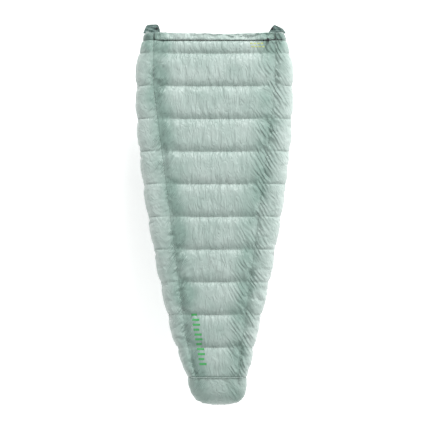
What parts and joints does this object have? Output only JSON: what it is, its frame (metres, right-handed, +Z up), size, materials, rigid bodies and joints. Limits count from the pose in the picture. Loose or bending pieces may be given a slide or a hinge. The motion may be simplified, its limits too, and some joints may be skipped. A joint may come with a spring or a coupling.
{
  "type": "camp quilt",
  "caption": "Tapered down camp quilt with a closed footbox, cross-quilted chambers, tucked side flaps, a gathered neck collar and a cord lock.",
  "frame": {"origin": "middle of the quilt's footprint, on the floor it lies on", "axes": "+X to the right seen from above with the neck up, +Y towards the neck, +Z up from the floor"},
  "size_m": [0.8174, 1.961, 0.136],
  "materials": {
    "shell_fabric": "silky ripstop, pale sage grey-green",
    "lining_fabric": "silky plain weave, dark grey-green",
    "down_fill": "soft down",
    "baffle_mesh": "thin baffle mesh",
    "edge_tape": "woven tape",
    "cord": "braided cord and webbing",
    "black_plastic": "moulded, slightly worn",
    "spring_steel": "drawn wire"
  },
  "bodies": {
    "quilt": {"top_shell_centre": "shell_fabric", "top_shell_left": "shell_fabric", "top_shell_right": "shell_fabric", "lining_centre": "lining_fabric", "lining_left": "lining_fabric", "lining_right": "lining_fabric", "down_centre": "down_fill", "down_left": "down_fill", "down_right": "down_fill", "cross_baffles_centre": "baffle_mesh", "cross_baffles_left": "baffle_mesh", "cross_baffles_right": "baffle_mesh", "long_baffle_left": "baffle_mesh", "long_baffle_right": "baffle_mesh", "footbox_under_shell": "shell_fabric", "footbox_under_lining": "lining_fabric", "footbox_under_down": "down_fill", "footbox_under_baffles": "baffle_mesh", "foot_end_shell": "shell_fabric", "foot_end_lining": "lining_fabric", "foot_end_down": "down_fill", "mouth_binding": "edge_tape", "collar_shell": "shell_fabric", "collar_down": "down_fill", "drawcord_channel": "edge_tape", "neck_drawcord": "cord", "cord_eyelet": "black_plastic"},
    "left_flap": {"flap_shell_left": "shell_fabric", "flap_lining_left": "lining_fabric", "flap_down_left": "down_fill", "flap_baffles_left": "baffle_mesh", "flap_binding_left": "edge_tape", "pad_loops_left": "cord", "ear_tab_left": "lining_fabric", "snap_cap_left": "black_plastic", "snap_stud_left": "black_plastic"},
    "right_flap": {"flap_shell_right": "shell_fabric", "flap_lining_right": "lining_fabric", "flap_down_right": "down_fill", "flap_baffles_right": "baffle_mesh", "flap_binding_right": "edge_tape", "pad_loops_right": "cord", "ear_tab_right": "lining_fabric", "snap_cap_right": "black_plastic", "snap_socket_right": "black_plastic"},
    "cord_lock": {"cord_lock_barrel": "black_plastic", "cord_lock_spring": "spring_steel"},
    "lock_button": {"cord_lock_button": "black_plastic"}
  },
  "joints": [
    {"name": "left_flap_fold", "type": "hinge", "parent": "quilt", "child": "left_flap", "pos_m": [-0.277, 0.2925, 0.004], "axis": [-0.0798, 0.9968, 0], "range_deg": [0, 120]},
    {"name": "right_flap_fold", "type": "hinge", "parent": "quilt", "child": "right_flap", "pos_m": [0.277, 0.2925, 0.004], "axis": [-0.0798, -0.9968, 0], "range_deg": [0, 120]},
    {"name": "cord_lock_slide", "type": "slide", "parent": "quilt", "child": "cord_lock", "axis": [1, 0, 0], "range_m": [0, 0.025]},
    {"name": "lock_button_press", "type": "slide", "parent": "cord_lock", "child": "lock_button", "axis": [0, 0, -1], "range_m": [0, 0.0035], "stiffness_N_per_m": 400, "springref_m": -0.002, "deforming": ["cord_lock_spring"]}
  ]
}
